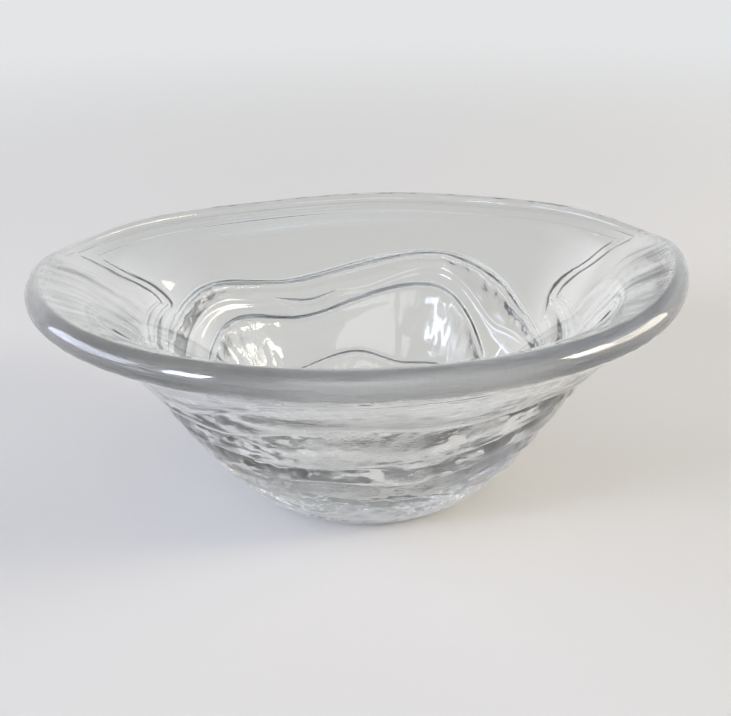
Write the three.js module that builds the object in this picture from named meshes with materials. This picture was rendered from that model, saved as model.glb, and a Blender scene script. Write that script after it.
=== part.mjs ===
// A clear glass dessert bowl, made in one piece.
// The inside is smooth. The outside steps in below seven wavy ledges, like layers of worn rock.
// Lengths are in millimetres and +Z is up. The origin is on the table, under the middle of the rim.

import * as THREE from 'three';

// Overall sizes
const RIM_RADIUS = 70;
const HEIGHT = 52.7;
const BASE_RADIUS = 22.7;
const BASE_SHIFT = 1.8; // the foot and the body stand this far to +X of the middle of the rim

// Glass thicknesses
const LIP_THICKNESS = 5.8;
const WALL_THICKNESS = 7.2;
const FLOOR_THICKNESS = 8;
const SHOULDER_THICKNESS = 0.75; // the glass swells this much just inside the lip

// The outer curve leaves the foot at one slope and meets the lip at another
const FOOT_SLOPE = THREE.MathUtils.degToRad(30);
const RIM_SLOPE = THREE.MathUtils.degToRad(24);
const FOOT_SWEEP = 22.3;
const RIM_SWEEP = 23.7;

// Roundings
const FOOT_ROUNDING = 1.5;
const EDGE_ROUNDING = 1.4;
const CORNER_ROUNDING = 0.9;
const INNER_ROUNDING = 6; // where the inner wall runs into the floor
const WIDEST_CUT = 0.45; // a rounding takes at most this share of the flat beside it

// The underside of a ledge rises outwards, so that the bowl comes out of its mould
const LEDGE_DRAFT = 0.12;
const DEEPEST_STEP = 0.8; // a step takes at most this share of the way to the edge below it

// Each ledge has crests and troughs: azimuth in degrees, height in percent of the side's height
// below the lip, and how far the wall steps in under the ledge, in millimetres.
// Azimuth 0 is +X and 90 is the back.
const LEDGES = [
  [[0, 6.7, 1.3], [60, 10.6, 1.2], [120, 7.3, 1.3], [180, 9.5, 1.2], [240, 9.5, 1.3], [285, 5.6, 1.2],
    [320, 9.5, 1.3]],
  [[0, 15.1, 1.6], [45, 16.8, 1.6], [90, 21.2, 1.5], [135, 17.9, 1.6], [180, 17.9, 1.6], [230, 23.5, 1.7],
    [262, 22.4, 1.5], [285, 16.8, 1.5], [318, 24.6, 1.7]],
  [[20, 24.6, 2], [62, 30.7, 1.8], [75, 29.6, 1.8], [94, 34.6, 1.8], [122, 29.1, 1.8], [180, 27.4, 2],
    [225, 33, 1.8], [285, 25.7, 1.7], [318, 36.9, 2]],
  [[28, 33, 3.2], [70, 65.9, 2.2], [113, 52.5, 2], [135, 57.6, 2.2], [175, 42.5, 3], [245, 37.4, 1.8],
    [258, 39.1, 1.8], [280, 36.3, 1.8], [318, 47.5, 2.4]],
  [[0, 45.8, 0.2], [40, 53.1, 0.2], [69, 72.7, 0.2], [95, 62.6, 0.2], [109, 59.8, 1.8], [124, 62.6, 0.2],
    [138, 65.9, 0.2], [178, 52.5, 0.2], [226, 49.2, 1.2], [247, 47.5, 1.6], [288, 52.5, 1.6],
    [325, 63.7, 2.2]],
  [[10, 54.8, 3], [69, 79.4, 3], [114, 68.7, 3.2], [139, 73.8, 3.2], [195, 60.9, 3.4], [230, 60.9, 2],
    [268, 73.2, 2], [288, 71, 2.2], [310, 75.4, 2.4]],
  [[0, 63.7, 1.4], [11.5, 69.9, 0.6], [14.5, 99.5, 0.5], [35, 99.5, 0.15], [145, 99.5, 0.15],
    [165.5, 99.5, 0.5], [168.5, 72.7, 0.6], [190, 67.6, 1.4], [222, 68.7, 1.4], [262, 89.4, 1.2],
    [300, 92.2, 1], [330, 82.7, 1.2]],
];

// The lip rises and falls a little: azimuth in degrees and lift in millimetres
const RIM_WAVE = [[0, 1.9], [30, -0.3], [70, -2], [112, -3], [150, -1.6], [180, 0.3], [228, 0], [270, 0.2],
  [320, 0.1]];
const RIM_WAVE_START = 0.72; // the lift starts at this share of the height

const LIP_START = 0.4; // the glass thins towards the lip from this share of the outer curve on
const SHOULDER_START = 0.8; // the shoulder swells from this share of the outer curve to the lip
const FULL_TURN = 360;
const PERCENT = 100;

// How finely the glass is divided
const COLUMNS = 72;
const LIP_STEPS = 6;
const FLARE_STEPS = 4;
const INNER_STEPS = 15;
const CURVE_POINTS = 400;

const LIP_ROUNDING = LIP_THICKNESS / 2;
const LIP_CENTRE = new THREE.Vector2(RIM_RADIUS - LIP_ROUNDING, HEIGHT - LIP_ROUNDING);

/** The smooth curve that touches the outermost edges, from the foot to the underside of the lip. */
function makeOuterCurve() {
  const foot = new THREE.Vector2(BASE_RADIUS, 0);
  const lip = new THREE.Vector2(Math.sin(RIM_SLOPE), -Math.cos(RIM_SLOPE))
    .multiplyScalar(LIP_ROUNDING)
    .add(LIP_CENTRE);
  const footHandle = new THREE.Vector2(Math.cos(FOOT_SLOPE), Math.sin(FOOT_SLOPE)).multiplyScalar(FOOT_SWEEP);
  const lipHandle = new THREE.Vector2(Math.cos(RIM_SLOPE), Math.sin(RIM_SLOPE)).multiplyScalar(-RIM_SWEEP);
  return new THREE.CubicBezierCurve(foot, footHandle.add(foot), lipHandle.add(lip), lip);
}

const OUTER_CURVE = makeOuterCurve();
const OUTER_POINTS = OUTER_CURVE.getPoints(CURVE_POINTS);

/** Goes smoothly from 0 at low to 1 at high. */
function smoothStep(value, low, high) {
  return THREE.MathUtils.smoothstep(value, low, high);
}

/** Reads y at x on a list of points whose x rises. */
function readCurve(points, x) {
  const after = Math.max(1, points.findIndex((point) => point.x >= x));
  const end = points[after];
  const start = points[after - 1];
  return THREE.MathUtils.mapLinear(x, start.x, end.x, start.y, end.y);
}

const RADIUS_BY_HEIGHT = OUTER_POINTS.map((point) => new THREE.Vector2(point.y, point.x));

/** The radius of the outer curve at a height. */
function outerRadius(height) {
  return readCurve(RADIUS_BY_HEIGHT, height);
}

/** The values of a wave at an azimuth, level at each crest and trough and smooth between them. */
function readWave(stops, azimuth) {
  const first = stops[0][0];
  const angle = first + THREE.MathUtils.euclideanModulo(azimuth - first, FULL_TURN);
  const index = stops.findLastIndex((stop) => stop[0] <= angle);
  const start = stops[index];
  const last = index === stops.length - 1;
  const end = last ? stops[0] : stops[index + 1];
  const blend = smoothStep(angle, start[0], end[0] + (last ? FULL_TURN : 0));
  return start.slice(1).map((value, i) => THREE.MathUtils.lerp(value, end[i + 1], blend));
}

/** Rounds the inner corners of an open outline: a short facet cuts each of them. */
function roundCorners(corners, roundings) {
  return corners.slice(1, -1).flatMap((corner, i) => {
    const back = corners[i].clone().sub(corner);
    const ahead = corners[i + 2].clone().sub(corner);
    const cut = Math.min(roundings[i], back.length() * WIDEST_CUT, ahead.length() * WIDEST_CUT);
    return [
      corner.clone().addScaledVector(back.normalize(), cut),
      corner.clone().addScaledVector(ahead.normalize(), cut),
    ];
  });
}

/** The height of a ledge's edge at an azimuth, and how far the wall steps in under it. */
function readLedge(stops, azimuth) {
  const [percent, step] = readWave(stops, azimuth);
  return { height: (percent / PERCENT) * OUTER_CURVE.v3.y, step };
}

/** The height at a step of the flare, which runs from the top ledge to the lip. */
function flareHeight(azimuth, step) {
  const ledge = readLedge(LEDGES[LEDGES.length - 1], azimuth);
  return THREE.MathUtils.lerp(ledge.height, OUTER_CURVE.v3.y, step / FLARE_STEPS);
}

/** The outside at one azimuth, from the edge of the foot over every ledge. */
function ledgeProfile(azimuth) {
  const corners = [new THREE.Vector2(0, 0), new THREE.Vector2(BASE_RADIUS, 0)];
  const roundings = [FOOT_ROUNDING];
  for (const stops of LEDGES) {
    const { height, step } = readLedge(stops, azimuth);
    const edge = new THREE.Vector2(outerRadius(height), height);
    const below = corners[corners.length - 1];
    const depth = Math.min(step, (edge.x - below.x) * DEEPEST_STEP);
    corners.push(new THREE.Vector2(edge.x - depth, edge.y - depth * LEDGE_DRAFT), edge);
    roundings.push(CORNER_ROUNDING, EDGE_ROUNDING);
  }
  const flareStart = flareHeight(azimuth, 1);
  corners.push(new THREE.Vector2(outerRadius(flareStart), flareStart));
  return roundCorners(corners, roundings);
}

/** The flared outside between the top ledge and the lip. */
function flareProfile(azimuth) {
  return Array.from({ length: FLARE_STEPS - 1 }, (_, i) => {
    const height = flareHeight(azimuth, i + 1);
    return new THREE.Vector2(outerRadius(height), height);
  });
}

/** The round lip, from its underside over its edge to its top. */
function lipProfile() {
  return Array.from({ length: LIP_STEPS + 1 }, (_, i) => {
    const angle = RIM_SLOPE - Math.PI / 2 + (Math.PI * i) / LIP_STEPS;
    const spoke = new THREE.Vector2(Math.cos(angle), Math.sin(angle));
    return spoke.multiplyScalar(LIP_ROUNDING).add(LIP_CENTRE);
  });
}

/** How thick the glass is at a share of the way along the outer curve. */
function glassThickness(share) {
  const wall = THREE.MathUtils.lerp(WALL_THICKNESS, LIP_THICKNESS, smoothStep(share, LIP_START, 1));
  const middle = (SHOULDER_START + 1) / 2;
  const swell = smoothStep(share, SHOULDER_START, middle) * (1 - smoothStep(share, middle, 1));
  return wall + SHOULDER_THICKNESS * swell;
}

/** The inner wall is the outer curve moved in by the glass, and it runs smoothly into the floor. */
function makeInnerCurve() {
  const wall = OUTER_POINTS.map((point, i) => {
    const share = i / CURVE_POINTS;
    const along = OUTER_CURVE.getTangent(share);
    const thickness = glassThickness(share);
    return new THREE.Vector2(point.x - along.y * thickness, point.y + along.x * thickness);
  });
  const foot = wall[0];
  const middle = new THREE.Vector2(0, foot.y - foot.x * Math.tan(FOOT_SLOPE));
  return [middle, ...wall];
}

const INNER_CURVE = makeInnerCurve();

/** The height of the inner surface at a radius. */
function innerHeight(radius) {
  const wall = readCurve(INNER_CURVE, radius);
  const gap = wall - FLOOR_THICKNESS;
  const top = INNER_CURVE[INNER_CURVE.length - 1].y - FLOOR_THICKNESS;
  const rounding = INNER_ROUNDING * smoothStep(top - gap, 0, top);
  return FLOOR_THICKNESS + (gap + Math.hypot(gap, rounding)) / 2;
}

/** The inside, from just below the lip to just before the middle of the floor. */
function innerProfile() {
  const rim = INNER_CURVE[INNER_CURVE.length - 1].x;
  return Array.from({ length: INNER_STEPS }, (_, i) => {
    const radius = rim * (1 - (i + 1) / (INNER_STEPS + 1));
    return new THREE.Vector2(radius, innerHeight(radius));
  });
}

/** Puts a point of the profile at its azimuth, on the shifted foot and the waving rim. */
function placePoint(point, azimuth) {
  const angle = THREE.MathUtils.degToRad(azimuth);
  const rise = smoothStep(point.y, HEIGHT * RIM_WAVE_START, LIP_CENTRE.y);
  const lift = readWave(RIM_WAVE, azimuth)[0] * rise;
  return [
    point.x * Math.cos(angle) + BASE_SHIFT * (1 - rise),
    point.x * Math.sin(angle),
    point.y + lift,
  ];
}

/** Joins the profiles at every azimuth into one closed surface that faces outwards. */
function makeBowlGeometry() {
  const columns = Array.from({ length: COLUMNS }, (_, i) => (FULL_TURN * i) / COLUMNS);
  const lip = lipProfile();
  const inner = innerProfile();
  const profiles = columns.map((azimuth) => [
    ...ledgeProfile(azimuth), ...flareProfile(azimuth), ...lip, ...inner]);
  const rings = profiles[0].length;

  const positions = [BASE_SHIFT, 0, 0, BASE_SHIFT, 0, innerHeight(0)];
  profiles.forEach((profile, i) => {
    profile.forEach((point) => positions.push(...placePoint(point, columns[i])));
  });

  const underside = 0; // the middle of the underside
  const floor = 1; // the middle of the floor inside
  const vertex = (column, ring) => floor + 1 + (column % COLUMNS) * rings + ring;
  const indices = [];
  for (let column = 0; column < COLUMNS; column += 1) {
    indices.push(underside, vertex(column + 1, 0), vertex(column, 0));
    for (let ring = 0; ring < rings - 1; ring += 1) {
      const a = vertex(column, ring);
      const b = vertex(column + 1, ring);
      const c = vertex(column + 1, ring + 1);
      const d = vertex(column, ring + 1);
      indices.push(a, b, c, a, c, d);
    }
    indices.push(floor, vertex(column, rings - 1), vertex(column + 1, rings - 1));
  }

  const geometry = new THREE.BufferGeometry();
  geometry.setAttribute('position', new THREE.Float32BufferAttribute(positions, 3));
  geometry.setIndex(indices);
  geometry.computeVertexNormals();
  return geometry;
}

const glass = new THREE.MeshStandardMaterial({
  color: 0xeef2f4,
  roughness: 0.04,
  metalness: 0,
  transparent: true,
  opacity: 0.35,
});

const bowl = new THREE.Mesh(makeBowlGeometry(), glass);
bowl.name = 'bowl';

const group = new THREE.Group();
group.add(bowl);

export default group;
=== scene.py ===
"""A clear glass dessert bowl: smooth inside, with wavy ledges round the outside.

The script builds the bowl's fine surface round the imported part, dresses it as pressed glass and sets the
studio. Sizes are in millimetres, as in the part's own source, and become metres when a mesh is made.
Azimuths are in degrees: 0 is +X, 90 is the back and -90 faces the viewer.
"""

import logging
import math
from dataclasses import dataclass
from enum import Enum

import bpy
import numpy as np
from mathutils import Matrix, Vector


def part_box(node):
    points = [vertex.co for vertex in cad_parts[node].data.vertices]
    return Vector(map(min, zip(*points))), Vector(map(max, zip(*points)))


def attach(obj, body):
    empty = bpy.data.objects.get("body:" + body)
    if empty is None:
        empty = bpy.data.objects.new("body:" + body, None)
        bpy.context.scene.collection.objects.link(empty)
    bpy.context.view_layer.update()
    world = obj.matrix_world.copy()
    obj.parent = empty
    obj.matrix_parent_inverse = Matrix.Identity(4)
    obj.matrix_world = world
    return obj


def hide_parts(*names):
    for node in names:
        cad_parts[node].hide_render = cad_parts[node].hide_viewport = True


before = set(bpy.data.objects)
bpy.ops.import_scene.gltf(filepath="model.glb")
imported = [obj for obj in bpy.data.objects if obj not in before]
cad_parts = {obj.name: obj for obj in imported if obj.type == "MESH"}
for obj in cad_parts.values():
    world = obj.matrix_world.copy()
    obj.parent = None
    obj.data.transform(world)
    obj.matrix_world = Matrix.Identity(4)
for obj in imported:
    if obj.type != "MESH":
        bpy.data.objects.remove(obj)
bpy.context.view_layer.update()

LOG = logging.getLogger("dessert_bowl")
MM = 0.001
FULL_TURN = 360.0
PERCENT = 100.0


def smooth_step(share: np.ndarray) -> np.ndarray:
    """Returns 3t^2 - 2t^3 of a share that is first held between 0 and 1."""
    held = np.clip(share, 0.0, 1.0)
    return held * held * (3.0 - 2.0 * held)


def mix(start: np.ndarray, end: np.ndarray, share: np.ndarray) -> np.ndarray:
    """Returns the values that lie at a share of the way from start to end."""
    return start + (end - start) * share


def linear_colour(code: str) -> tuple[float, float, float, float]:
    """Turns a colour as it is written for screens into linear values, by the sRGB curve.

    A channel c becomes c / 12.92 up to 0.04045, and ((c + 0.055) / 1.055)^2.4 above that.

    Args:
        code: An sRGB hex value, such as "#F2F5F6".

    Returns:
        Red, green, blue and an alpha of 1, each from 0 to 1.
    """
    channels = [int(code[i:i + 2], 16) / 255.0 for i in (1, 3, 5)]
    linear = [c / 12.92 if c <= 0.04045 else ((c + 0.055) / 1.055) ** 2.4 for c in channels]
    return (linear[0], linear[1], linear[2], 1.0)


def add_node(tree: bpy.types.NodeTree, kind: str, values: dict | None = None,
             links: dict | None = None, **settings: object) -> bpy.types.Node:
    """Adds a node with its settings, socket values and incoming links.

    Args:
        tree: The node tree that takes the node.
        kind: The node's type name in Blender.
        values: A value for each input socket, by the socket's name or number.
        links: The output socket that feeds each input socket, by the input's name or number.
        **settings: The node's own properties.

    Returns:
        The new node.
    """
    node = tree.nodes.new(kind)
    for name, value in settings.items():
        setattr(node, name, value)
    for name, value in (values or {}).items():
        node.inputs[name].default_value = value
    for name, source in (links or {}).items():
        tree.links.new(source, node.inputs[name])
    return node


@dataclass(frozen=True)
class Wave:
    """Values that run round the bowl, level at each crest and trough and smooth between them.

    Attributes:
        stops: For each crest or trough its azimuth, then its values.
    """

    stops: tuple[tuple[float, ...], ...]

    def read(self, azimuth: np.ndarray) -> np.ndarray:
        """Blends the values from stop to stop by 3t^2 - 2t^3, with t the share of the way between them.

        Args:
            azimuth: Angles in degrees.

        Returns:
            A row for each value, as long as azimuth.
        """
        table = np.array(self.stops + self.stops[:1])
        table[-1, 0] += FULL_TURN
        angle = table[0, 0] + np.mod(azimuth - table[0, 0], FULL_TURN)
        index = np.clip(np.searchsorted(table[:, 0], angle, side="right") - 1, 0, len(self.stops) - 1)
        start = table[index].T
        end = table[index + 1].T
        share = smooth_step((angle - start[0]) / (end[0] - start[0]))
        return mix(start, end, share)[1:]


@dataclass(frozen=True)
class Ledge:
    """One of the wavy ledges round the outside.

    Attributes:
        wave: For each crest or trough its azimuth, the height of the ledge's edge in percent of the side's
            height below the lip, and how far the wall steps in under it, in millimetres.
        texture: For each change its azimuth, then how satin the band under the ledge is and how sandy.
            1 is plain sand, and more than 1 is coarser.
    """

    wave: Wave
    texture: Wave = Wave(((0, 0.15, 1.0),))


# Sand shows beside the bends at the two sides, and hardly at the back
SIDE_SAND = Wave(((20, 0.2, 1.8), (60, 0.1, 1.2), (95, 0.05, 0.3), (118, 0.1, 0.5), (140, 0.2, 1.8),
                  (200, 0.2, 1.3), (340, 0.2, 1.3)))

# The flare over the top ledges is satin in front and clear at the back
FLARE_TEXTURE = Wave(((6, 0.25, 0.2), (15, 0.12, 0.1), (30, 0.05, 0.0), (150, 0.05, 0.0), (165, 0.12, 0.1),
                      (174, 0.25, 0.2)))

# From the foot up. The last two make the double line that climbs to the lip at the two sides.
LEDGES = (
    Ledge(Wave(((0, 6.7, 1.3), (60, 10.6, 1.2), (120, 7.3, 1.3), (180, 9.5, 1.2), (240, 9.5, 1.3),
                (285, 5.6, 1.2), (320, 9.5, 1.3))), texture=Wave(((0, 0.4, 1.4),))),
    Ledge(Wave(((0, 15.1, 1.6), (45, 16.8, 1.6), (90, 21.2, 1.5), (135, 17.9, 1.6), (180, 17.9, 1.6),
                (230, 23.5, 1.7), (262, 22.4, 1.5), (285, 16.8, 1.5), (318, 24.6, 1.7)))),
    Ledge(Wave(((20, 24.6, 2), (62, 30.7, 1.8), (75, 29.6, 1.8), (94, 34.6, 1.8), (122, 29.1, 1.8),
                (180, 27.4, 2), (225, 33, 1.8), (285, 25.7, 1.7), (318, 36.9, 2)))),
    Ledge(Wave(((28, 33, 3.2), (70, 65.9, 2.2), (113, 52.5, 2), (135, 57.6, 2.2), (175, 42.5, 3),
                (245, 37.4, 1.8), (258, 39.1, 1.8), (280, 36.3, 1.8), (318, 47.5, 2.4))),
          texture=SIDE_SAND),
    Ledge(Wave(((0, 45.8, 0.03), (40, 53.1, 0.03), (69, 72.7, 0.03), (95, 62.6, 0.03), (109, 59.8, 1.8),
                (124, 62.6, 0.03), (138, 65.9, 0.03), (178, 52.5, 0.03), (226, 49.2, 1.2),
                (247, 47.5, 1.6), (288, 52.5, 1.6), (325, 63.7, 2.2)))),
    Ledge(Wave(((10, 54.8, 3), (69, 79.4, 3), (114, 68.7, 3.2), (139, 73.8, 3.2), (195, 60.9, 3.4),
                (230, 60.9, 2), (268, 73.2, 2), (288, 71, 2.2), (310, 75.4, 2.4))), texture=SIDE_SAND),
    Ledge(Wave(((0, 63.7, 1.4), (21, 70.5, 0.7), (24.5, 96.8, 0.5), (40, 96.8, 0.3), (140, 96.8, 0.3),
                (158.5, 96.8, 0.5), (162, 72.7, 0.7), (190, 67.6, 1.4), (222, 68.7, 1.4),
                (262, 89.4, 1.2), (300, 92.2, 1), (330, 82.7, 1.2))),
          texture=Wave(((6, 0.3, 0.6), (15, 0.05, 0.1), (165, 0.05, 0.1), (174, 0.3, 0.6)))),
    Ledge(Wave(((0, 70.5, 0.03), (18, 73, 0.5), (21.5, 99.5, 0.5), (35, 99.5, 0.3), (145, 99.5, 0.3),
                (161.5, 99.5, 0.5), (165, 75.3, 0.5), (190, 72, 0.03), (222, 74, 0.03), (262, 94, 0.03),
                (300, 96, 0.03), (330, 87.5, 0.03))), texture=FLARE_TEXTURE),
)

# How far from a ledge's edge the humps reach their full height
CALM_EDGE = Wave(((20, 2.2), (160, 2.2), (195, 0.8), (345, 0.8)))

# How far round the two steep ends of the top ledges lean, in degrees
LEAN = Wave(((-6, 0.0), (19.75, -5.8), (46, 0.0), (136, 0.0), (163.3, 4.4), (188, 0.0)))

# How far the lip rises and falls
RIM_WAVE = Wave(((0, 1.9), (30, -0.3), (70, -2), (112, -3), (150, -1.6), (180, 0.3), (228, 0), (270, 0.2),
                 (320, 0.1)))


@dataclass(frozen=True)
class Relief:
    """A rise and fall of the glass surface, as the mould and the flowing glass leave it.

    Attributes:
        depth: The height of its crests over the smooth surface.
        around: The length of a hump along the bowl's girth.
        along: The length of a hump up the bowl's side.
        seed: The start of its random draws.
        fewest: The least number of humps once round.
    """

    depth: float
    around: float
    along: float
    seed: int
    fewest: int = 3

    def heights(self, girth: np.ndarray, distance: np.ndarray, turn: float) -> np.ndarray:
        """Draws random values on a lattice and blends the four round each point by 3t^2 - 2t^3.

        Args:
            girth: Each point's way round the bowl.
            distance: Each point's way up the side, along the surface.
            turn: The way once round, after which the lattice repeats.

        Returns:
            The height of the relief at each point.
        """
        cells = max(self.fewest, round(turn / self.around))
        u = girth / turn * cells
        v = distance / self.along
        column = np.floor(u).astype(int)
        row = np.floor(v).astype(int)
        lattice = np.random.default_rng(self.seed).uniform(-1.0, 1.0, (row.max() + 2, cells))
        across = smooth_step(u - column)
        up = smooth_step(v - row)
        below = mix(lattice[row, column % cells], lattice[row, (column + 1) % cells], across)
        above = mix(lattice[row + 1, column % cells], lattice[row + 1, (column + 1) % cells], across)
        return self.depth * mix(below, above, up)


# The sand of the mould leaves humps that lie along the bands, and its finest grain is in the material
SAND_RELIEFS = (
    Relief(depth=0.30, around=8.0, along=1.9, seed=11),
    Relief(depth=0.22, around=3.2, along=1.3, seed=12),
    Relief(depth=0.13, around=1.6, along=0.9, seed=13),
)

# Long marks run where the glass flowed round the mould
FLOW_RELIEFS = (
    Relief(depth=0.60, around=34.0, along=3.2, seed=21),
    Relief(depth=0.40, around=14.0, along=1.7, seed=22),
)

# Marks run up the flare, as if brushed
BRUSH_RELIEFS = (
    Relief(depth=0.40, around=3.4, along=16.0, seed=31),
    Relief(depth=0.24, around=2.2, along=9.0, seed=32),
)


@dataclass
class GlassBowl:
    """The whole bowl, one piece of glass with a round lip, a smooth inside and ledges round the outside.

    The side is a profile of radius against height that changes with the azimuth. It starts at the edge of
    the foot, goes up over every ledge, along the flare, over the lip and down the inside. A texture goes
    with it, of four rows: how satin each point is, how sandy, how much of the humps it takes, and how
    brushed.
    """

    # Overall sizes and thicknesses
    rim_radius: float
    height: float
    base_radius: float = 22.7
    base_shift: float = 1.8
    lip_thickness: float = 5.8
    wall_thickness: float = 7.2
    floor_thickness: float = 8.0
    shoulder_thickness: float = 0.75

    # The outer curve leaves the foot at one slope and meets the lip at another
    foot_slope: float = math.radians(30)
    rim_slope: float = math.radians(24)
    foot_sweep: float = 22.3
    rim_sweep: float = 23.7

    # Roundings. Those on the outside take at most the widest cut, a share of the flat beside them.
    foot_rounding: float = 1.5
    edge_rounding: float = 1.4
    corner_rounding: float = 0.9
    inner_rounding: float = 6.0
    widest_cut: float = 0.45

    # Under a ledge: its draft, its depth at most, how a small step runs out in a soft slope, and how the
    # wall bulges between two ledges
    ledge_draft: float = 0.12
    deepest_step: float = 0.8
    soft_ledge: float = 0.8
    soft_step: float = 0.5
    least_climb: float = 0.5
    riser_bulge: float = 0.3
    steepest_bulge: float = 0.05

    # Where the lean starts and turns back, and where the rim's wave, the thin lip and the shoulder start,
    # all as shares of the way up
    lean_start: float = 0.55
    lean_middle: float = 0.74
    rim_wave_start: float = 0.72
    lip_start: float = 0.4
    shoulder_start: float = 0.8

    # How the sand fades under a ledge, near a ledge's edge, where a step is small and at the foot
    sand_reach: float = 0.5
    least_sand_reach: float = 1.5
    sand_between: float = 0.35
    sandless_edge: float = 0.5
    sandy_step: float = 1.0
    sandless_foot: float = 0.5

    # The lip is more satin than the flare, and fades to the polish of the inside over its top
    lip_satin: float = 8.0
    lip_brush: float = 1.2
    lip_polish: float = 0.25
    lip_sand: float = 0.5
    lip_humps: float = 0.25

    # How finely the glass is divided
    columns: int = 480
    curve_points: int = 2000
    flare_rows: int = 14
    lip_rows: int = 18
    inner_rows: int = 42
    riser_rows: int = 6
    step_rows: int = 1
    corner_rows: int = 4
    edge_rows: int = 5

    def __post_init__(self) -> None:
        """Works out the lip's centre and the smooth curves that the side follows."""
        self.lip_rounding = self.lip_thickness / 2
        self.lip_centre = np.array([self.rim_radius - self.lip_rounding, self.height - self.lip_rounding])
        self.azimuths = np.arange(self.columns) * FULL_TURN / self.columns
        self.outer = self.outer_curve()
        self.side_height = self.outer[-1, 1]
        self.inner = self.inner_curve()

    def outer_curve(self) -> np.ndarray:
        """Follows a cubic curve from the foot to the underside of the lip.

        The curve is (1-t)^3 A + 3t(1-t)^2 B + 3t^2(1-t) C + t^3 D. A is the edge of the foot and D is where
        the lip's circle has the rim's slope. B and C lie on the tangents there, a sweep away.

        Returns:
            Radius and height of each point, from the foot up.
        """
        foot_way = np.array([math.cos(self.foot_slope), math.sin(self.foot_slope)])
        rim_way = np.array([math.cos(self.rim_slope), math.sin(self.rim_slope)])
        foot = np.array([self.base_radius, 0.0])
        lip = self.lip_centre + self.lip_rounding * np.array([rim_way[1], -rim_way[0]])
        foot_handle = foot + self.foot_sweep * foot_way
        lip_handle = lip - self.rim_sweep * rim_way
        t = np.linspace(0.0, 1.0, self.curve_points)[:, None]
        back = 1.0 - t
        return back**3 * foot + 3 * t * back**2 * foot_handle + 3 * t**2 * back * lip_handle + t**3 * lip

    def inner_curve(self) -> np.ndarray:
        """Moves the outer curve in by the glass's thickness, and runs straight to the middle.

        The glass thins towards the lip, and just inside the lip it swells a little, to a soft shoulder.

        Returns:
            Radius and height of each point, from the middle out.
        """
        along = np.gradient(self.outer, axis=0)
        along /= np.linalg.norm(along, axis=1, keepdims=True)
        share = np.linspace(0.0, 1.0, self.curve_points)
        thins = smooth_step((share - self.lip_start) / (1.0 - self.lip_start))
        half = (1.0 - self.shoulder_start) / 2
        swell = smooth_step((share - self.shoulder_start) / half) * smooth_step((1.0 - share) / half)
        thickness = mix(self.wall_thickness, self.lip_thickness, thins) + self.shoulder_thickness * swell
        wall = self.outer + thickness[:, None] * np.stack([-along[:, 1], along[:, 0]], axis=1)
        middle = [0.0, wall[0, 1] - wall[0, 0] * math.tan(self.foot_slope)]
        return np.vstack([middle, wall])

    def outer_radius(self, height: np.ndarray) -> np.ndarray:
        """Returns the outer curve's radius at each height."""
        return np.interp(height, self.outer[:, 1], self.outer[:, 0])

    def inner_height(self, radius: np.ndarray) -> np.ndarray:
        """Blends the inner wall into the flat floor.

        With g the wall's height over the floor and k the rounding, the height is the floor plus
        (g + sqrt(g^2 + k^2)) / 2. The rounding fades out towards the lip.

        Args:
            radius: Distances from the bowl's axis.

        Returns:
            The height of the inside at each radius.
        """
        gap = np.interp(radius, self.inner[:, 0], self.inner[:, 1]) - self.floor_thickness
        top = self.inner[-1, 1] - self.floor_thickness
        rounding = self.inner_rounding * smooth_step((top - gap) / top)
        return self.floor_thickness + (gap + np.hypot(gap, rounding)) / 2

    def rounded(self, back: np.ndarray, corner: np.ndarray, ahead: np.ndarray, rounding: float,
                rows: int) -> np.ndarray:
        """Rounds a corner by the curve (1-t)^2 A + 2t(1-t) C + t^2 B, with C the corner.

        A and B lie on the flats on either side, a rounding away, or nearer where a flat is short.

        Args:
            back: The corner before this one, at every azimuth.
            corner: The corner.
            ahead: The corner after it.
            rounding: How far from the corner the curve starts.
            rows: How many points the curve has.

        Returns:
            Radius and height of the curve's points, by row and azimuth.
        """
        to_back = back - corner
        to_ahead = ahead - corner
        back_length = np.linalg.norm(to_back, axis=-1, keepdims=True)
        ahead_length = np.linalg.norm(to_ahead, axis=-1, keepdims=True)
        cut = np.minimum(rounding, self.widest_cut * np.minimum(back_length, ahead_length))
        start = corner + to_back / back_length * cut
        end = corner + to_ahead / ahead_length * cut
        t = np.linspace(0.0, 1.0, rows)[:, None, None]
        return (1 - t) ** 2 * start + 2 * t * (1 - t) * corner + t**2 * end

    def flat(self, start: np.ndarray, end: np.ndarray, rows: int) -> np.ndarray:
        """Fills the way between two roundings with points on a straight line.

        Args:
            start: The last point of the rounding before it.
            end: The first point of the rounding after it.
            rows: How many points lie between them.

        Returns:
            Radius and height of the points, by row and azimuth.
        """
        t = (np.arange(rows) + 1.0)[:, None, None] / (rows + 1)
        return mix(start, end, t)

    def riser(self, start: np.ndarray, end: np.ndarray) -> np.ndarray:
        """Fills the way up from one ledge to the next, with a curve that is like the outer curve there.

        The line between the two ends moves out by the outer curve's own distance from its chord between
        the same heights, and swells by a half sine besides.

        Args:
            start: The last point of the rounding over the lower ledge.
            end: The first point of the rounding under the upper ledge.

        Returns:
            Radius and height of the points, by row and azimuth.
        """
        line = self.flat(start, end, self.riser_rows)
        share = self.flat(np.zeros(2), np.ones(2), self.riser_rows)[..., 0]
        chord = mix(self.outer_radius(start[:, 1]), self.outer_radius(end[:, 1]), share)
        length = np.linalg.norm(end - start, axis=-1)
        swell = np.minimum(self.riser_bulge, length * self.steepest_bulge) * np.sin(np.pi * share)
        outwards = self.outer_radius(line[..., 1]) - chord + swell
        return line + np.stack([outwards, np.zeros_like(outwards)], axis=-1)

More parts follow.
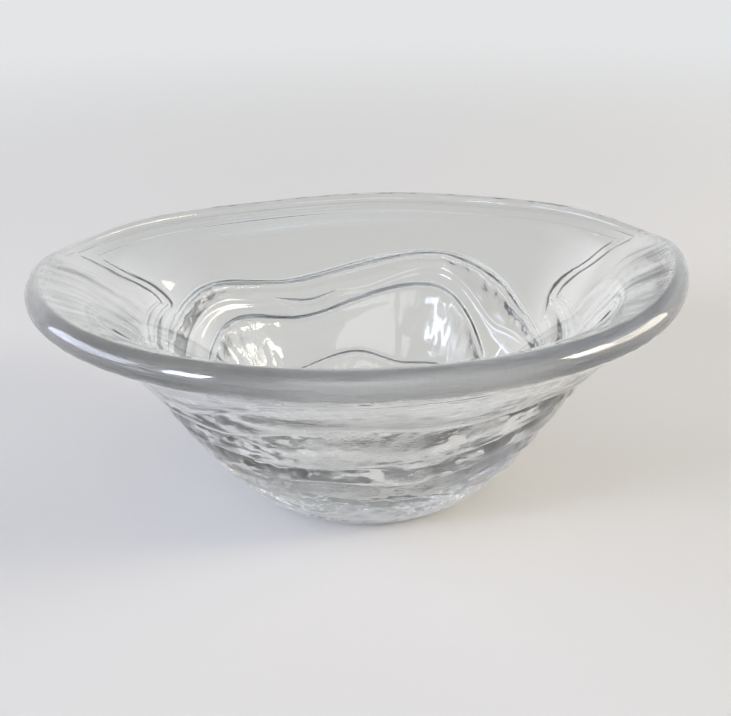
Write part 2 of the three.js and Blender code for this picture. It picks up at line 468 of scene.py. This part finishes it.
    def ledge_side(self) -> tuple[np.ndarray, np.ndarray]:
        """Goes from the edge of the foot up over every ledge.

        Where a step is small, it starts lower and becomes a soft slope.

        Returns:
            Radius and height of the points, by row and azimuth, and their texture.
        """
        waves = [ledge.wave.read(self.azimuths) for ledge in LEDGES]
        middle = np.zeros((self.columns, 2))
        corners = [middle, middle + [self.base_radius, 0.0]]
        for percent, step in waves:
            height = percent / PERCENT * self.side_height
            edge = np.stack([self.outer_radius(height), height], axis=-1)
            below = corners[-1]
            depth = np.minimum(step, (edge[:, 0] - below[:, 0]) * self.deepest_step)
            slope = self.soft_ledge * (1.0 - smooth_step(depth / self.soft_step))
            low = np.maximum(height - slope, mix(below[:, 1], height, self.least_climb))
            inner = np.stack([self.outer_radius(low) - depth, low - depth * self.ledge_draft], axis=-1)
            corners += [inner, edge]
        corners.append(self.flare_point(np.array([[1.0 / self.flare_rows]]))[0])

        # After the foot's, the corners are each ledge's inner corner and its edge in turn
        blocks = [self.rounded(*corners[:3], self.foot_rounding, self.corner_rows)]
        for i in range(2, len(corners) - 1, 2):
            turn = self.rounded(*corners[i - 1:i + 2], self.corner_rounding, self.corner_rows)
            blocks += [self.riser(blocks[-1][-1], turn[0]), turn]
            turn = self.rounded(*corners[i:i + 3], self.edge_rounding, self.edge_rows)
            blocks += [self.flat(blocks[-1][-1], turn[0], self.step_rows), turn]
        side = np.concatenate(blocks)
        return side, self.band_texture(side[..., 1], waves)

    def band_texture(self, height: np.ndarray, waves: list[np.ndarray]) -> np.ndarray:
        """Gives each band its satin, and its sand, which fades downwards from the ledge over it.

        With d the depth below the ledge, f a share of the band's height and b the sand left between ledges,
        the sand is b + (1 - b) exp(-(d / f)^2). It is weaker where the step is small, and gone at the foot.

        Args:
            height: The height of each point, by row and azimuth.
            waves: Each ledge's height in percent and its step, at every azimuth.

        Returns:
            The texture of each point. There are no humps on the ledges' edges and on the foot, and only the
            points over the top ledge are brushed.
        """
        satin = np.zeros_like(height)
        sand = np.zeros_like(height)
        humps = np.ones_like(height)
        floor = np.zeros_like(self.azimuths)
        for ledge, (percent, step) in zip(LEDGES, waves):
            edge = percent / PERCENT * self.side_height
            depth = edge - height
            reach = np.maximum(self.sand_reach * (edge - floor), self.least_sand_reach)
            fade = self.sand_between + (1.0 - self.sand_between) * np.exp(-((depth / reach) ** 2))
            fade = fade * smooth_step(depth / self.sandless_edge) * smooth_step(step / self.sandy_step)
            band = (depth >= 0.0) & (height >= floor)
            ledge_satin, ledge_sand = ledge.texture.read(self.azimuths)
            satin = np.where(band, ledge_satin, satin)
            sand = np.where(band, ledge_sand * fade, sand)
            humps = np.minimum(humps, smooth_step(np.abs(depth) / CALM_EDGE.read(self.azimuths)[0]))
            floor = edge
        above = height > floor
        flare_satin, flare_sand = FLARE_TEXTURE.read(self.azimuths)
        satin = np.where(above, flare_satin, satin)
        foot_fade = smooth_step(height / self.foot_rounding - self.sandless_foot)
        sand = np.where(above, flare_sand, sand) * foot_fade
        return np.stack([satin, sand, humps * foot_fade, np.where(above, satin, 0.0)])

    def upper_texture(self) -> np.ndarray:
        """Carries the flare's texture to the lip and fades it out on the way over the lip.

        Returns:
            The texture of the flare, the lip and the inside, which is all smooth.
        """
        satin, sand = FLARE_TEXTURE.read(self.azimuths)
        flare = np.stack([satin, sand, np.ones(self.columns), satin])[:, None, :]
        turn = np.linspace(0.0, 1.0, self.lip_rows)
        polish = smooth_step((1.0 - turn) / self.lip_polish)
        lip_fades = np.stack([self.lip_satin * polish, smooth_step(1.0 - turn / self.lip_sand),
                              smooth_step(1.0 - turn / self.lip_humps), self.lip_brush * polish])
        inside = np.zeros((len(flare), self.inner_rows, self.columns))
        flares = np.repeat(flare, self.flare_rows - 1, axis=1)
        return np.concatenate([flares, flare * lip_fades[:, :, None], inside], axis=1)

    def flare_point(self, share: np.ndarray) -> np.ndarray:
        """Follows the outer curve from the top ledge to the underside of the lip.

        Args:
            share: The share of the way up, as a column of rows.

        Returns:
            Radius and height, by row and azimuth.
        """
        start = LEDGES[-1].wave.read(self.azimuths)[0] / PERCENT * self.side_height
        height = mix(start, self.side_height, share)
        return np.stack([self.outer_radius(height), height], axis=-1)

    def flare_side(self) -> np.ndarray:
        """Returns the points of the flare between the top ledge and the lip, by row and azimuth."""
        share = (np.arange(1, self.flare_rows) / self.flare_rows)[:, None]
        return self.flare_point(share)

    def lip_side(self) -> np.ndarray:
        """Goes round the lip's circle from the underside of the rim to its top.

        Returns:
            Radius and height, by row and azimuth.
        """
        turn = np.linspace(self.rim_slope - math.pi / 2, self.rim_slope + math.pi / 2, self.lip_rows)
        circle = self.lip_centre + self.lip_rounding * np.stack([np.cos(turn), np.sin(turn)], axis=-1)
        return np.repeat(circle[:, None, :], self.columns, axis=1)

    def inner_side(self) -> np.ndarray:
        """Goes down the inside, from just below the lip to just before the middle of the floor.

        Returns:
            Radius and height, by row and azimuth.
        """
        share = np.arange(1, self.inner_rows + 1) / (self.inner_rows + 1)
        radius = self.inner[-1, 0] * (1.0 - share)
        wall = np.stack([radius, self.inner_height(radius)], axis=-1)
        return np.repeat(wall[:, None, :], self.columns, axis=1)

    def place(self, profile: np.ndarray) -> np.ndarray:
        """Turns the profile round the axis, on the shifted foot and the waving rim.

        The rise goes smoothly from 0 at the start of the rim's wave to 1 at the lip. The axis moves by the
        base shift times one less the rise, and the height grows by the wave's lift times the rise. The lean
        turns the points one way in the middle of the side and the other way at the lip.

        Args:
            profile: Radius and height, by row and azimuth.

        Returns:
            The points in metres, by row and azimuth.
        """
        radius, height = profile[..., 0], profile[..., 1]
        start = self.height * self.rim_wave_start
        rise = smooth_step((height - start) / (self.lip_centre[1] - start))
        lift = RIM_WAVE.read(self.azimuths)[0] * rise
        share = height / self.side_height
        side = mix(-1.0, 1.0, smooth_step((share - self.lean_middle) / (1.0 - self.lean_middle)))
        lean = side * smooth_step((share - self.lean_start) / (self.lean_middle - self.lean_start))
        angle = np.radians(self.azimuths + LEAN.read(self.azimuths)[0] * lean)
        x = radius * np.cos(angle) + self.base_shift * (1.0 - rise)
        y = radius * np.sin(angle)
        return np.stack([x, y, height + lift], axis=-1) * MM

    def way_up(self, profile: np.ndarray) -> np.ndarray:
        """Returns each point's way up the side along the surface, by row and azimuth."""
        return np.cumsum(np.linalg.norm(np.gradient(profile, axis=0), axis=-1), axis=0)

    def roughen(self, profile: np.ndarray, texture: np.ndarray) -> np.ndarray:
        """Moves each point along the profile's normal by the height of every relief there.

        Args:
            profile: Radius and height, by row and azimuth.
            texture: The texture of each point.

        Returns:
            The profile with its relief.
        """
        along = np.gradient(profile, axis=0)
        outwards = np.stack([along[..., 1], -along[..., 0]], axis=-1)
        outwards /= np.linalg.norm(outwards, axis=-1, keepdims=True)
        distance = self.way_up(profile)
        turn = 2.0 * math.pi * self.rim_radius
        girth = np.broadcast_to(self.azimuths / FULL_TURN * turn, distance.shape)
        satin, sand, humps, brushed = texture
        flowing = np.where(brushed > 0.0, 0.0, satin)
        relief = np.zeros_like(distance)
        for share, reliefs in ((sand, SAND_RELIEFS), (flowing, FLOW_RELIEFS), (brushed, BRUSH_RELIEFS)):
            relief += share * sum(marks.heights(girth, distance, turn) for marks in reliefs)
        return profile + outwards * (humps * relief)[..., None]

    def flow(self, profile: np.ndarray) -> np.ndarray:
        """Rolls the side up into a tube, so that a pattern can run up the side without a seam.

        Args:
            profile: Radius and height, by row and azimuth.

        Returns:
            For each point its place on a tube as wide as the rim, in metres. The tube's height is the way
            up the side along the surface.
        """
        distance = self.way_up(profile)
        angle = np.broadcast_to(np.radians(self.azimuths), distance.shape)
        x = self.rim_radius * np.cos(angle)
        y = self.rim_radius * np.sin(angle)
        return np.stack([x, y, distance], axis=-1) * MM

    def faces(self, rows: int) -> list[list[int]]:
        """Joins the points of the side into quads, and closes its ends with fans round the two middles.

        The points are numbered row by row, then come the middle of the underside and that of the floor.

        Args:
            rows: How many rows of points the side has.

        Returns:
            The points of each face, in the order that makes it face outwards.
        """
        ring = np.arange(self.columns)
        after = (ring + 1) % self.columns
        low = np.arange(rows - 1)[:, None] * self.columns
        high = low + self.columns
        quads = np.stack([low + ring, low + after, high + after, high + ring], axis=-1).reshape(-1, 4)
        underside = np.full_like(ring, rows * self.columns)
        last = (rows - 1) * self.columns
        base_fan = np.stack([underside, after, ring], axis=-1)
        floor_fan = np.stack([underside + 1, last + ring, last + after], axis=-1)
        return quads.tolist() + base_fan.tolist() + floor_fan.tolist()

    def build(self) -> bpy.types.Object:
        """Joins every part of the side into one closed surface, a mesh of pressed glass.

        Its points carry how satin, sandy and brushed they are, and their place on the rolled-up side, for
        the glass's material.

        Returns:
            The bowl's object.
        """
        ledges, bands = self.ledge_side()
        profile = np.concatenate([ledges, self.flare_side(), self.lip_side(), self.inner_side()])
        texture = np.concatenate([bands, self.upper_texture()], axis=1)
        points = self.place(self.roughen(profile, texture))
        floor = float(self.inner_height(0.0))
        middles = np.array([[self.base_shift, 0.0, 0.0], [self.base_shift, 0.0, floor]]) * MM
        vertices = np.concatenate([points.reshape(-1, 3), middles])

        mesh = bpy.data.meshes.new("bowl_glass")
        mesh.from_pydata(vertices.tolist(), [], self.faces(len(points)))
        mesh.shade_smooth()
        satin, sand, _, brushed = texture
        for name, values in (("satin", satin), ("sand", sand), ("brushed", brushed)):
            attribute = mesh.attributes.new(name, "FLOAT", "POINT")
            attribute.data.foreach_set("value", np.append(values, np.zeros(len(middles))))
        flow = mesh.attributes.new("flow", "FLOAT_VECTOR", "POINT")
        flow.data.foreach_set("vector", np.append(self.flow(profile), np.zeros_like(middles)))
        mesh.materials.append(PressedGlass().build())
        bowl = bpy.data.objects.new("bowl_glass", mesh)
        bpy.context.scene.collection.objects.link(bowl)
        return bowl


@dataclass(frozen=True)
class Pattern:
    """A noise in the glass.

    Attributes:
        size: The size of its humps.
        squeeze: How many times flatter the humps are up the bowl than round it. Below 1 they are taller.
        depth: How high the humps stand as a bump, where they do.
    """

    size: float
    squeeze: float
    depth: float = 0.0


@dataclass(frozen=True)
class PressedGlass:
    """Clear soda-lime glass, pressed in a sand-faced mould and fire-polished on its lip and inside.

    The polish gives clean refraction inside, and leaves a smooth skin all over, so that lamps show as crisp
    highlights. Under that skin the outside is satin, which softens what shows through it. The sand gives
    grainy patches that start at each ledge and fade downwards, and the ends of the flare look brushed. Real
    sand is about 0.3 mm, too fine to show at this size, so its grain is drawn 0.8 mm wide.
    """

    colour: str = "#FBFDFD"
    ior: float = 1.52
    transmission: float = 1.0
    skin: float = 1.0
    skin_roughness: float = 0.04
    satin_roughness: float = 0.3
    sand_roughness: float = 0.1
    patch: Pattern = Pattern(size=9.0, squeeze=2.0)
    grain: Pattern = Pattern(size=0.8, squeeze=2.0, depth=0.12)
    streak: Pattern = Pattern(size=7.0, squeeze=9.0, depth=0.24)
    brush: Pattern = Pattern(size=0.7, squeeze=1.0 / 14.0, depth=0.35)

    # Each pattern holds two finer ones, and each of them is weaker than the one before it
    finer_patterns: float = 2.0
    finer_strength: float = 0.6

    # A patch goes from its faintest to full sand between two values of its noise
    patch_low: float = 0.42
    patch_high: float = 0.58
    patch_faintest: float = 0.12

    # The glass goes from satin to frosted between two heights of the grain
    frost_low: float = 0.1
    frost_high: float = 0.55

    def build(self) -> bpy.types.Material:
        """Makes the material. The bowl's satin, sand and brushed values say where each pattern shows.

        A bump's height is the pattern's noise times its share. The roughness goes smoothly from the satin's
        to the sand's as the grain's height goes from the lower frost value to the higher.

        Returns:
            The glass material.
        """
        material = bpy.data.materials.new("pressed_soda_lime_glass")
        material.use_nodes = True
        tree = material.node_tree
        shader = tree.nodes["Principled BSDF"]
        shader.inputs["Base Color"].default_value = linear_colour(self.colour)
        shader.inputs["IOR"].default_value = self.ior
        shader.inputs["Transmission Weight"].default_value = self.transmission
        shader.inputs["Coat Weight"].default_value = self.skin
        shader.inputs["Coat Roughness"].default_value = self.skin_roughness
        shader.inputs["Coat IOR"].default_value = self.ior

        place = add_node(tree, "ShaderNodeTexCoord").outputs["Object"]
        flow = add_node(tree, "ShaderNodeAttribute", attribute_name="flow").outputs["Vector"]
        satin = add_node(tree, "ShaderNodeAttribute", attribute_name="satin").outputs["Fac"]
        sand = add_node(tree, "ShaderNodeAttribute", attribute_name="sand").outputs["Fac"]
        brushed = add_node(tree, "ShaderNodeAttribute", attribute_name="brushed").outputs["Fac"]
        noises = []
        for pattern, source in ((self.patch, place), (self.streak, place), (self.brush, flow),
                                (self.grain, place)):
            squeezed = add_node(tree, "ShaderNodeVectorMath", operation="MULTIPLY",
                                values={1: (1.0, 1.0, pattern.squeeze)}, links={0: source})
            noise = add_node(tree, "ShaderNodeTexNoise", links={"Vector": squeezed.outputs["Vector"]},
                             values={"Scale": 1.0 / (pattern.size * MM), "Detail": self.finer_patterns,
                                     "Roughness": self.finer_strength})
            noises.append(noise.outputs["Fac"])
        patch, streak, brush, grain = noises
        patches = add_node(tree, "ShaderNodeMapRange", interpolation_type="SMOOTHSTEP",
                           values={"From Min": self.patch_low, "From Max": self.patch_high,
                                   "To Min": self.patch_faintest}, links={"Value": patch})
        sandy = add_node(tree, "ShaderNodeMath", operation="MULTIPLY",
                         links={0: patches.outputs["Result"], 1: sand})

        # Each bump stands on the one before it
        below = {}
        for noise, share, depth in ((streak, satin, self.streak.depth), (brush, brushed, self.brush.depth),
                                    (grain, sandy.outputs["Value"], self.grain.depth)):
            height = add_node(tree, "ShaderNodeMath", operation="MULTIPLY", links={0: noise, 1: share})
            bump = add_node(tree, "ShaderNodeBump", values={"Strength": 1.0, "Distance": depth * MM},
                            links={"Height": height.outputs["Value"], **below})
            below = {"Normal": bump.outputs["Normal"]}
        tree.links.new(bump.outputs["Normal"], shader.inputs["Normal"])

        # The last height is the grain's
        smooth = add_node(tree, "ShaderNodeMath", operation="MULTIPLY", values={1: self.satin_roughness},
                          links={0: satin})
        frost = add_node(tree, "ShaderNodeMapRange", interpolation_type="SMOOTHSTEP",
                         values={"From Min": self.frost_low, "From Max": self.frost_high,
                                 "To Max": self.sand_roughness},
                         links={"Value": height.outputs["Value"], "To Min": smooth.outputs["Value"]})
        tree.links.new(frost.outputs["Result"], shader.inputs["Roughness"])
        return material


@dataclass(frozen=True)
class PhotoCamera:
    """The camera at the photograph's place, angle and focal length."""

    image_width: float = 731.0
    focal_pixels: float = 1370.0
    sensor_width: float = 36.0
    place: tuple[float, float, float] = (1.59, -283.2, 136.8)
    pitch: float = 20.74
    roll: float = -1.01
    nearest: float = 10.0

    def build(self) -> bpy.types.Object:
        """Makes the scene's camera. It looks along +Y, tilted down by the pitch and rolled.

        Returns:
            The camera's object.
        """
        data = bpy.data.cameras.new("photo_camera")
        data.sensor_width = self.sensor_width
        data.lens = self.focal_pixels / self.image_width * self.sensor_width
        data.clip_start = self.nearest * MM
        camera = bpy.data.objects.new("photo_camera", data)
        bpy.context.scene.collection.objects.link(camera)
        # A camera faces down by itself, so it is turned up by 90 degrees less the pitch
        tilt = Matrix.Rotation(math.radians(90.0 - self.pitch), 4, "X")
        roll = Matrix.Rotation(math.radians(self.roll), 4, "Z")
        camera.matrix_world = Matrix.Translation(Vector(self.place) * MM) @ tilt @ roll
        bpy.context.scene.camera = camera
        return camera


class LampTone(Enum):
    """The tones of the studio's soft lamps."""

    COOL = "#DFE6FF"
    WARM = "#FFF4E2"
    NEUTRAL = "#FFFFFF"


@dataclass(frozen=True)
class Softbox:
    """A soft lamp, a lit rectangle that faces the bowl."""

    name: str
    tone: LampTone
    watts: float
    width: float
    length: float
    place: tuple[float, float, float]
    target: tuple[float, float, float] = (0.0, 0.0, 25.0)

    def build(self) -> bpy.types.Object:
        """Makes the lamp and turns it to its target. The camera doesn't see it, but the glass does.

        Returns:
            The lamp's object.
        """
        data = bpy.data.lights.new(self.name, "AREA")
        data.shape = "RECTANGLE"
        data.size = self.width * MM
        data.size_y = self.length * MM
        data.energy = self.watts
        data.color = linear_colour(self.tone.value)[:3]
        lamp = bpy.data.objects.new(self.name, data)
        lamp.visible_camera = False
        bpy.context.scene.collection.objects.link(lamp)
        place = Vector(self.place) * MM
        direction = Vector(self.target) * MM - place
        turn = direction.to_track_quat("-Z", "Y").to_matrix().to_4x4()
        lamp.matrix_world = Matrix.Translation(place) @ turn
        return lamp


@dataclass(frozen=True)
class Studio:
    """The pale floor, the soft lamps and the pale surround."""

    # The floor lies just under the base, so that light gets between them, and fades out into the surround
    floor_radius: float = 800.0
    floor_sides: int = 96
    floor_fade_start: float = 200.0
    floor_fade_end: float = 760.0
    floor_gap: float = 0.05
    floor_colour: str = "#D2D0CC"
    floor_roughness: float = 0.85
    floor_through_glass: float = 0.65

    # The surround is pale up to one height and grey above the other, for a direction of length 1
    surround_low: str = "#E4E5E6"
    surround_high: str = "#8A8E93"
    surround_strength: float = 1.0
    pale_height: float = 0.15
    grey_height: float = 0.75

    # Two soft glows behind the bowl light the edges of the glass. They are full within one angle of their
    # middle and end at another, both in degrees, and their strength adds to the surround's.
    glow_left: tuple[float, float, float] = (-0.545, 0.685, 0.49)
    glow_right: tuple[float, float, float] = (0.565, 0.67, 0.49)
    glow_full: float = 7.0
    glow_end: float = 22.0
    glow_strength: float = 0.9

    softboxes: tuple[Softbox, ...] = (
        Softbox("window_left", LampTone.COOL, watts=19.0, width=420.0, length=600.0,
                place=(-1270.0, -830.0, 570.0)),
        Softbox("window_right", LampTone.WARM, watts=14.0, width=500.0, length=500.0,
                place=(1500.0, -250.0, 570.0)),
        Softbox("edge_left", LampTone.COOL, watts=9.0, width=900.0, length=500.0,
                place=(-1150.0, 150.0, 330.0)),
        Softbox("edge_right", LampTone.WARM, watts=9.0, width=900.0, length=500.0,
                place=(1150.0, 150.0, 330.0)),
        Softbox("fill_front", LampTone.NEUTRAL, watts=5.0, width=1200.0, length=800.0,
                place=(0.0, -1300.0, 900.0)),
    )

    def build_board(self) -> bpy.types.Material:
        """Makes the floor's matt pale board, which turns clear away from the bowl.

        Glass shows the board partly as evenly lit, so that the clear base doesn't go black over it.

        Returns:
            The floor's material.
        """
        material = bpy.data.materials.new("matt_pale_board")
        material.use_nodes = True
        tree = material.node_tree
        shader = tree.nodes["Principled BSDF"]
        shader.inputs["Base Color"].default_value = linear_colour(self.floor_colour)
        shader.inputs["Roughness"].default_value = self.floor_roughness
        path = add_node(tree, "ShaderNodeLightPath")
        share = add_node(tree, "ShaderNodeMath", operation="MULTIPLY", values={1: self.floor_through_glass},
                         links={0: path.outputs["Is Transmission Ray"]})
        lit = add_node(tree, "ShaderNodeEmission", values={"Color": linear_colour(self.floor_colour)})
        seen = add_node(tree, "ShaderNodeMixShader",
                        links={0: share.outputs["Value"], 1: shader.outputs["BSDF"],
                               2: lit.outputs["Emission"]})
        place = add_node(tree, "ShaderNodeTexCoord")
        distance = add_node(tree, "ShaderNodeVectorMath", operation="LENGTH",
                            links={0: place.outputs["Object"]})
        fade = add_node(tree, "ShaderNodeMapRange", interpolation_type="SMOOTHSTEP",
                        values={"From Min": self.floor_fade_start * MM,
                                "From Max": self.floor_fade_end * MM},
                        links={"Value": distance.outputs["Value"]})
        clear = add_node(tree, "ShaderNodeBsdfTransparent")
        edge = add_node(tree, "ShaderNodeMixShader",
                        links={0: fade.outputs["Result"], 1: seen.outputs["Shader"],
                               2: clear.outputs["BSDF"]})
        tree.links.new(edge.outputs["Shader"], tree.nodes["Material Output"].inputs["Surface"])
        return material

    def build_floor(self) -> bpy.types.Object:
        """Makes the floor, a flat disc.

        Returns:
            The floor's object.
        """
        angle = np.arange(self.floor_sides) * 2.0 * math.pi / self.floor_sides
        level = np.full(self.floor_sides, -self.floor_gap)
        rim = [self.floor_radius * np.cos(angle), self.floor_radius * np.sin(angle), level]
        mesh = bpy.data.meshes.new("studio_floor")
        mesh.from_pydata((np.stack(rim, axis=-1) * MM).tolist(), [], [list(range(self.floor_sides))])
        mesh.materials.append(self.build_board())
        floor = bpy.data.objects.new("studio_floor", mesh)
        bpy.context.scene.collection.objects.link(floor)
        return floor

    def build_surround(self) -> bpy.types.World:
        """Makes the surround, which goes from pale at the horizon to grey overhead, with its two glows.

        A glow's strength goes smoothly from none to full with the cosine of the angle from its middle.

        Returns:
            The world.
        """
        world = bpy.data.worlds.new("studio_surround")
        world.use_nodes = True
        tree = world.node_tree
        place = add_node(tree, "ShaderNodeTexCoord").outputs["Generated"]
        axes = add_node(tree, "ShaderNodeSeparateXYZ", links={"Vector": place})
        share = add_node(tree, "ShaderNodeMapRange", interpolation_type="SMOOTHSTEP",
                         values={"From Min": self.pale_height, "From Max": self.grey_height},
                         links={"Value": axes.outputs["Z"]})

        # A Mix node's sockets 6 and 7 are its two colours, and output 2 is the blend of them
        tone = add_node(tree, "ShaderNodeMix", data_type="RGBA", links={"Factor": share.outputs["Result"]},
                        values={6: linear_colour(self.surround_low), 7: linear_colour(self.surround_high)})
        glows = []
        for direction in (self.glow_left, self.glow_right):
            facing = add_node(tree, "ShaderNodeVectorMath", operation="DOT_PRODUCT", values={1: direction},
                              links={0: place})
            glow = add_node(tree, "ShaderNodeMapRange", interpolation_type="SMOOTHSTEP",
                            values={"From Min": math.cos(math.radians(self.glow_end)),
                                    "From Max": math.cos(math.radians(self.glow_full)),
                                    "To Max": self.glow_strength},
                            links={"Value": facing.outputs["Value"]})
            glows.append(glow.outputs["Result"])
        both = add_node(tree, "ShaderNodeMath", operation="ADD", links={0: glows[0], 1: glows[1]})
        strength = add_node(tree, "ShaderNodeMath", operation="ADD", values={1: self.surround_strength},
                            links={0: both.outputs["Value"]})
        background = tree.nodes["Background"]
        tree.links.new(tone.outputs[2], background.inputs["Color"])
        tree.links.new(strength.outputs["Value"], background.inputs["Strength"])
        bpy.context.scene.world = world
        return world

    def build(self) -> None:
        """Makes the floor, the surround and the lamps, and reports each lamp."""
        self.build_floor()
        self.build_surround()
        for softbox in self.softboxes:
            softbox.build()
            LOG.info("lamp %s: %.1f W", softbox.name, softbox.watts)


def fit_to_frame() -> GlassBowl:
    """Takes the bowl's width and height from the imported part.

    Returns:
        The bowl, with its rim inside the part's box. The part's height includes the highest lift of the
        rim.
    """
    low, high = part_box("bowl")
    highest_lift = max(stop[1] for stop in RIM_WAVE.stops)
    return GlassBowl(rim_radius=(high.x - low.x) / 2 / MM, height=(high.z - low.z) / MM - highest_lift)


def main() -> None:
    """Builds the camera, the studio and the bowl in order, and reports the bowl."""
    logging.basicConfig(level=logging.INFO, format="%(name)s: %(message)s")
    bpy.context.scene.view_settings.view_transform = "Standard"
    PhotoCamera().build()
    Studio().build()
    bowl = fit_to_frame().build()
    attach(bowl, "root")
    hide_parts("bowl")
    LOG.info("bowl_glass: %d points, %d faces", len(bowl.data.vertices), len(bowl.data.polygons))


if __name__ == "__main__":
    main()
